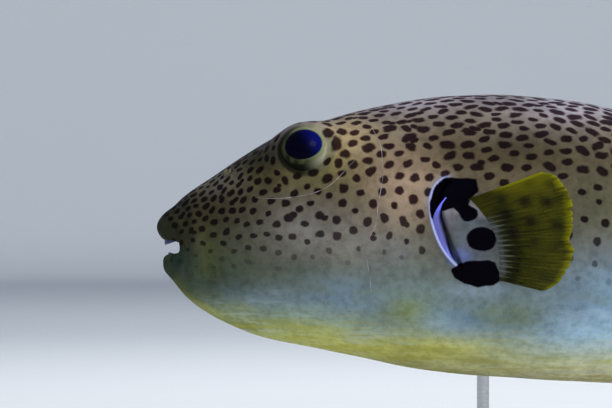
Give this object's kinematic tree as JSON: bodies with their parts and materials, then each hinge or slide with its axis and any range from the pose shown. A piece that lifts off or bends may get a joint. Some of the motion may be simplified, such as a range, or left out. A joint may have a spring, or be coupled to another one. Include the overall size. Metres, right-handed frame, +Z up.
{
  "type": "life-size stellate puffer fish model on a display stand",
  "caption": "Life-size museum-style model of an adult stellate pufferfish, spotted skin, mouth ajar, pectoral fins spread, carried on rods above a flat display base.",
  "frame": {"origin": "on the floor, under the middle of the whole model", "axes": "-X towards the head and +X towards the tail, -Y the fish's left side, +Z up"},
  "size_m": [0.61, 0.2428, 0.289],
  "materials": {
    "skin": "scaleless wet skin, tan above and blue-grey to yellow below, with dark spots",
    "lips": "smooth dark olive skin",
    "fin": "thin olive-yellow membrane over fine rays",
    "eye": "clear and glossy, with a large blue-black pupil",
    "teeth": "satin enamel",
    "stand_wood": "dark satin lacquer",
    "stand_steel": "satin"
  },
  "bodies": {
    "root": {"head": "skin", "trunk": "skin", "tail": "skin", "nostril_left": "skin", "nostril_right": "skin", "lip_upper": "lips", "lip_lower": "lips", "fin_pectoral_left": "fin", "fin_pectoral_right": "fin", "fin_dorsal": "fin", "fin_anal": "fin", "fin_caudal": "fin", "eye_left": "eye", "eye_right": "eye", "teeth_upper": "teeth", "teeth_lower": "teeth", "stand_base": "stand_wood", "stand_rod_front": "stand_steel", "stand_rod_rear": "stand_steel", "stand_collar_front": "stand_steel", "stand_collar_rear": "stand_steel"}
  },
  "joints": []
}
